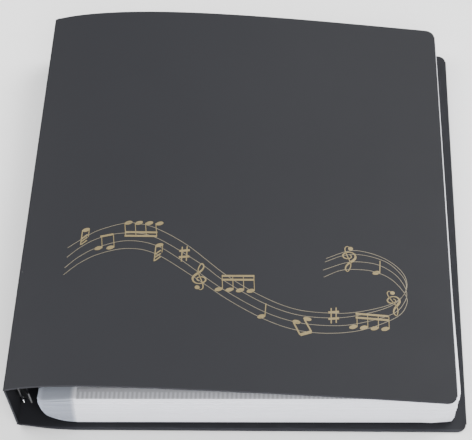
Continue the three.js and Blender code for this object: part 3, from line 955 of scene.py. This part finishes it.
def settle(points):
    """Lets the stack sag at the near end, leans its fore edges out towards the top, and dents the corner."""
    x, y, z = points.T
    low, high = stack_heights(x)
    share = np.clip((z - low) / (high - low), -OVERSHOOT, 1 + OVERSHOOT)
    near = ease((NEAR_SAG_START - y) / NEAR_SAG_LENGTH)
    near_low, near_high = near_heights(x)
    z = (1 - near) * (low + share * (high - low)) + near * (near_low + share * (near_high - near_low))
    left, right = STACK_LOW[0], STACK_HIGH[0]
    across = np.clip((x - left) / (right - left), 0, 1)
    margin = np.clip((left + NEAR_CURL - x) / NEAR_CURL, 0, 1)
    along = (y - STACK_LOW[1]) / (STACK_HIGH[1] - STACK_LOW[1])
    skew = STACK_SKEW * along + NEAR_FLARE * ease(along / NEAR_FLARE_SPAN)
    lean = (SHEAR * (share - SHEAR_MIDDLE) - skew) * across ** 2
    dent = near * ease((x - right + CRUMPLE_START) / CRUMPLE_RUN)
    for rate_across, rate_up in CRUMPLE_WAVES:
        dent = dent * np.sin(rate_across * x + rate_up * share)
    bow = NEAR_BOW * ease((NEAR_BOW_START - y) / NEAR_SAG_LENGTH) * margin
    bow = bow * np.sin(math.pi * share / NEAR_BOW_SPAN)
    return np.stack([x + lean - bow, y + STACK_SLIP + STACK_TURN * across + CRUMPLE * dent, z], axis=1)


def stack_heights(x):
    """Underside and top of the stack over x: both rise or fall along a cubic curve to the punched edges."""
    left, low, top = STACK_LOW[0], STACK_LOW[2], STACK_HIGH[2]
    raised = low + MARGIN_LIFT
    edge_top = raised + MARGIN_THICKNESS
    t = np.linspace(0, 1, 80)
    under_runs = [left + MARGIN_CURL * share for share in (0, *UNDER_HANDLES, 1)]
    over_runs = [left + MARGIN_TOP_RUN * share for share in (0, *OVER_HANDLES, 1)]
    under = bezier(list(zip(under_runs, (raised, raised, low, low))), t)
    over = bezier(list(zip(over_runs, (edge_top, top - (top - edge_top) * OVER_DROP, top, top))), t)
    return np.interp(x, under[:, 0], under[:, 1]), np.interp(x, over[:, 0], over[:, 1])


def sleeve_leaf(index, count, x, place, shift, inset):
    """One leaf of the stack: its share of the height over x, with its own small slip in X and Y."""
    slack, fill = place
    low, high = stack_heights(x)
    rise = (high - low) / count
    lower = np.stack([x + shift[0], low + rise * (index + slack)], axis=1)
    upper = np.stack([x + shift[0], low + rise * (index + slack + fill)], axis=1)
    return leaf(upper, lower, STACK_LOW[1] + inset + shift[1], STACK_HIGH[1] - inset + shift[2], 20, 3)


def weld_and_shadow_strip(start, end):
    """The ribbed weld along the top sleeve's near edge, with a band beyond it that carries a painted shadow: a
    strip whose height waves once a period along X.
    """
    count = int((end - start) / WELD_PERIOD) * WELD_STATIONS
    x = np.linspace(start, end, count)
    high = stack_heights(x)[1]
    rib = 0.5 - 0.5 * np.cos(2 * math.pi * (x - start) / WELD_PERIOD)
    upper = np.stack([x, high + WELD_BASE + WELD_HEIGHT * rib ** WELD_POWER], axis=1)
    lower = np.stack([x, high - WELD_SINK], axis=1)
    edge = np.full(count, STACK_LOW[1] + WELD_SINK)
    return leaf(upper, lower, edge, edge + WELD_WIDTH, 5, 3)


class FOLDER_OT_sleeves(bpy.types.Operator):
    """Stacks the clear sleeves: white paper pockets, and clear punched margins round the rings"""
    bl_idname = "folder.sleeves"
    bl_label = "Sleeves"

    def execute(self, context):
        sizes = context.scene.folder_sizes
        margin = sizes.film_margin / MM
        count = sizes.sleeves
        draw = np.random.default_rng(7)
        left, right = STACK_LOW[0] + EDGE_INSET, STACK_HIGH[0] - EDGE_INSET
        seam = STACK_LOW[0] + margin
        pocket_x = seam + end_shares(24, 1.6) * (right - seam)
        margin_x = left + (1 - end_shares(16, 1.5)[::-1]) * (margin - EDGE_INSET)
        pocket_inset = corner_inset(right - pocket_x, OPEN_CORNER)
        margin_inset = corner_inset(margin_x - left, PUNCHED_CORNER)
        pockets, margins = [], []
        for i in range(count):
            slip = draw.uniform(-0.5, 0.5, 3)
            near, far = END_INSET + slip[1] * END_SLIPS[0], -END_INSET + slip[2] * END_SLIPS[1]
            pocket_shift = (slip[0] * POCKET_SLIP, near, far)
            margin_shift = (slip[0], near + slip[2] * END_SLIPS[0], far)
            pockets.append(sleeve_leaf(i, count, pocket_x, POCKET_PLACE, pocket_shift, pocket_inset))
            margins.append(sleeve_leaf(i, count, margin_x, MARGIN_PLACE, margin_shift, margin_inset))
        weld = weld_and_shadow_strip(seam + WELD_INSETS[0], STACK_HIGH[0] - WELD_INSETS[1])
        for name, parts, material in (
            ("sleeve_pockets", pockets, "paper_pockets"),
            ("sleeve_margins", margins, "clear_margins"),
            ("weld_and_shadow_strip", [weld], "weld_painted_shade"),
        ):
            points, faces = joined(parts)
            piece = add_object(name, settle(points), faces, finish(material))
            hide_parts("sleeve_pages")
            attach(piece, "spine")
        return {"FINISHED"}


# Rings, in the plane of the tilted mechanism: out from the spine panel, and up along it

RING_RADIUS = 11.8
RING_MIDDLE = (-111.45, 18.29)
RING_END = math.radians(152)
RING_TIP_GAP = 0.15
RING_TIP = 0.3  # length of a half's rounded tip, as a share of the wire's radius
RING_COUNT = 4
RING_PITCH = 80.0
HOLE_X = -99.8
HOLE_RADIUS = 2.9


def half_ring(side, y, radius):
    """Half a ring of round wire: circles carried along an arc, with a rounded tip where the halves meet."""
    tip_angle = RING_TIP * radius / RING_RADIUS
    start = RING_TIP_GAP / RING_RADIUS + tip_angle
    angle = np.linspace(start, RING_END, 56)
    steps = np.linspace(0, 1, 4, endpoint=False)
    size = np.concatenate([np.sqrt(1 - (1 - steps) ** 2), np.ones(len(angle)), [0.0]]) * radius
    angle = np.concatenate([start - tip_angle * (1 - steps), angle, angle[-1:]])
    turn = np.linspace(0, 2 * math.pi, 20, endpoint=False)
    reach = RING_RADIUS + size[:, None] * np.cos(turn)
    out = reach * np.cos(angle)[:, None]
    up = side * reach * np.sin(angle)[:, None]
    x = RING_MIDDLE[0] + out * SPINE_OUT[0] + up * SPINE_UP[0]
    z = RING_MIDDLE[1] + out * SPINE_OUT[1] + up * SPINE_UP[1]
    points = np.stack([x, y + size[:, None] * np.sin(turn), z], axis=-1)
    return points.reshape(-1, 3), loop_faces(len(angle), len(turn))


class FOLDER_OT_rings(bpy.types.Operator):
    """Bends the four rings, each from an upper and a lower half of round wire"""
    bl_idname = "folder.rings"
    bl_label = "Rings"

    def execute(self, context):
        radius = context.scene.folder_sizes.wire / MM / 2
        for i in range(RING_COUNT):
            for side, half in ((1, "upper"), (-1, "lower")):
                node = f"ring_{half}_{i + 1}"
                low, high = node_box(node)
                points, faces = half_ring(side, (low[1] + high[1]) / 2, radius)
                ring = add_object(f"{node}_wire", points, faces, finish("plated_steel"))
                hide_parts(node)
                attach(ring, f"{half}_rings")
        return {"FINISHED"}


class FOLDER_OT_metal(bpy.types.Operator):
    """Gives the spine panel its plastic and the ring mechanism its plated steel"""
    bl_idname = "folder.metal"
    bl_label = "Ring mechanism"

    def execute(self, context):
        looks = {"spine_panel": "charcoal_plastic", "lever_front": "dark_steel", "lever_rear": "dark_steel"}
        remade = ("front_cover", "back_cover", "sleeve_pages")
        for name, node in frame["nodes"].items():
            if name not in remade:
                node.data.materials.clear()
                node.data.materials.append(finish(looks.get(name, "plated_steel")))
        return {"FINISHED"}


# Stage: the floor and the camera's place in millimetres, the camera's angles in radians, the lights in metres

FLOOR_REACH = 4000.0
FLOOR_DROP = 0.05
LIGHTS = (  # name, place, diameter, power in watts
    ("key_light", (1.35, 1.1, 1.6), 1.6, 64),
    ("fill_light", (-1.2, 0.3, 1.7), 1.4, 38),
    ("front_light", (0.3, -1.5, 1.2), 1.4, 40),
)
SKY_STRENGTH = 0.6
CAMERA_PLACE = (45.7, -823.2, 872.9)
CAMERA_TILT = 0.7606
CAMERA_TURN = 0.062
CAMERA_ROLL = -0.0431
FOCAL_PIXELS = 1967.0
PHOTO_WIDTH = 472
SENSOR_WIDTH = 36


class FOLDER_OT_stage(bpy.types.Operator):
    """Adds the pale floor, the soft lights and the camera at the photograph's angle"""
    bl_idname = "folder.stage"
    bl_label = "Stage"

    def execute(self, context):
        corners = np.array([[-1, -1, 0], [1, -1, 0], [1, 1, 0], [-1, 1, 0]]) * FLOOR_REACH
        corners[:, 2] -= FLOOR_DROP
        ground = add_object("floor", corners, [[0, 1, 2, 3]], finish("pale_floor"), smooth=False)
        for name, place, size, power in LIGHTS:
            lamp = bpy.data.lights.new(name, "AREA")
            lamp.shape = "DISK"
            lamp.size = size
            lamp.energy = power
            light = bpy.data.objects.new(name, lamp)
            light.location = place
            aim = np.array(place) / -np.linalg.norm(place)
            light.rotation_euler = Euler((math.acos(-aim[2]), 0, math.atan2(aim[0], -aim[1]) + math.pi))
            context.scene.collection.objects.link(light)
        world = context.scene.world or bpy.data.worlds.new("world")
        context.scene.world = world
        world.use_nodes = True
        feed(world.node_tree, world.node_tree.nodes["Background"], Color=(1, 1, 1, 1), Strength=SKY_STRENGTH)
        lens = bpy.data.cameras.new("camera")
        lens.sensor_width = SENSOR_WIDTH
        lens.lens = FOCAL_PIXELS * SENSOR_WIDTH / PHOTO_WIDTH
        lens.clip_end = 100
        camera = bpy.data.objects.new("camera", lens)
        camera.location = [value * MM for value in CAMERA_PLACE]
        turn = Euler((0, 0, CAMERA_TURN)).to_matrix() @ Euler((CAMERA_TILT, 0, 0)).to_matrix()
        camera.rotation_euler = (turn @ Euler((0, 0, CAMERA_ROLL)).to_matrix()).to_euler()
        context.scene.collection.objects.link(camera)
        context.scene.camera = camera
        return {"FINISHED"}


OPERATORS = (
    FOLDER_OT_stage, FOLDER_OT_covers, FOLDER_OT_creases, FOLDER_OT_ornament, FOLDER_OT_sleeves,
    FOLDER_OT_rings, FOLDER_OT_metal,
)


class FOLDER_PT_panel(bpy.types.Panel):
    """Shows the sizes, the colours and a button for each operator"""
    bl_idname = "FOLDER_PT_panel"
    bl_label = "Music folder"
    bl_space_type = "VIEW_3D"
    bl_region_type = "UI"
    bl_category = "Folder"

    def draw(self, context):
        for group in (context.scene.folder_sizes, context.scene.folder_colours):
            for name in group.__annotations__:
                self.layout.prop(group, name)
        for operator in OPERATORS:
            self.layout.operator(operator.bl_idname)


CLASSES = (FolderSizes, FolderColours, *OPERATORS, FOLDER_PT_panel)


def register():
    """Registers the classes and gives the scene its sizes and colours."""
    for item in CLASSES:
        bpy.utils.register_class(item)
    bpy.types.Scene.folder_sizes = bpy.props.PointerProperty(type=FolderSizes)
    bpy.types.Scene.folder_colours = bpy.props.PointerProperty(type=FolderColours)


def unregister():
    """Takes back what register did."""
    del bpy.types.Scene.folder_colours
    del bpy.types.Scene.folder_sizes
    for item in reversed(CLASSES):
        bpy.utils.unregister_class(item)


def main():
    """Makes the whole scene."""
    register()
    for operator in OPERATORS:
        group, name = operator.bl_idname.split(".")
        getattr(getattr(bpy.ops, group), name)()


if __name__ == "__main__":
    main()
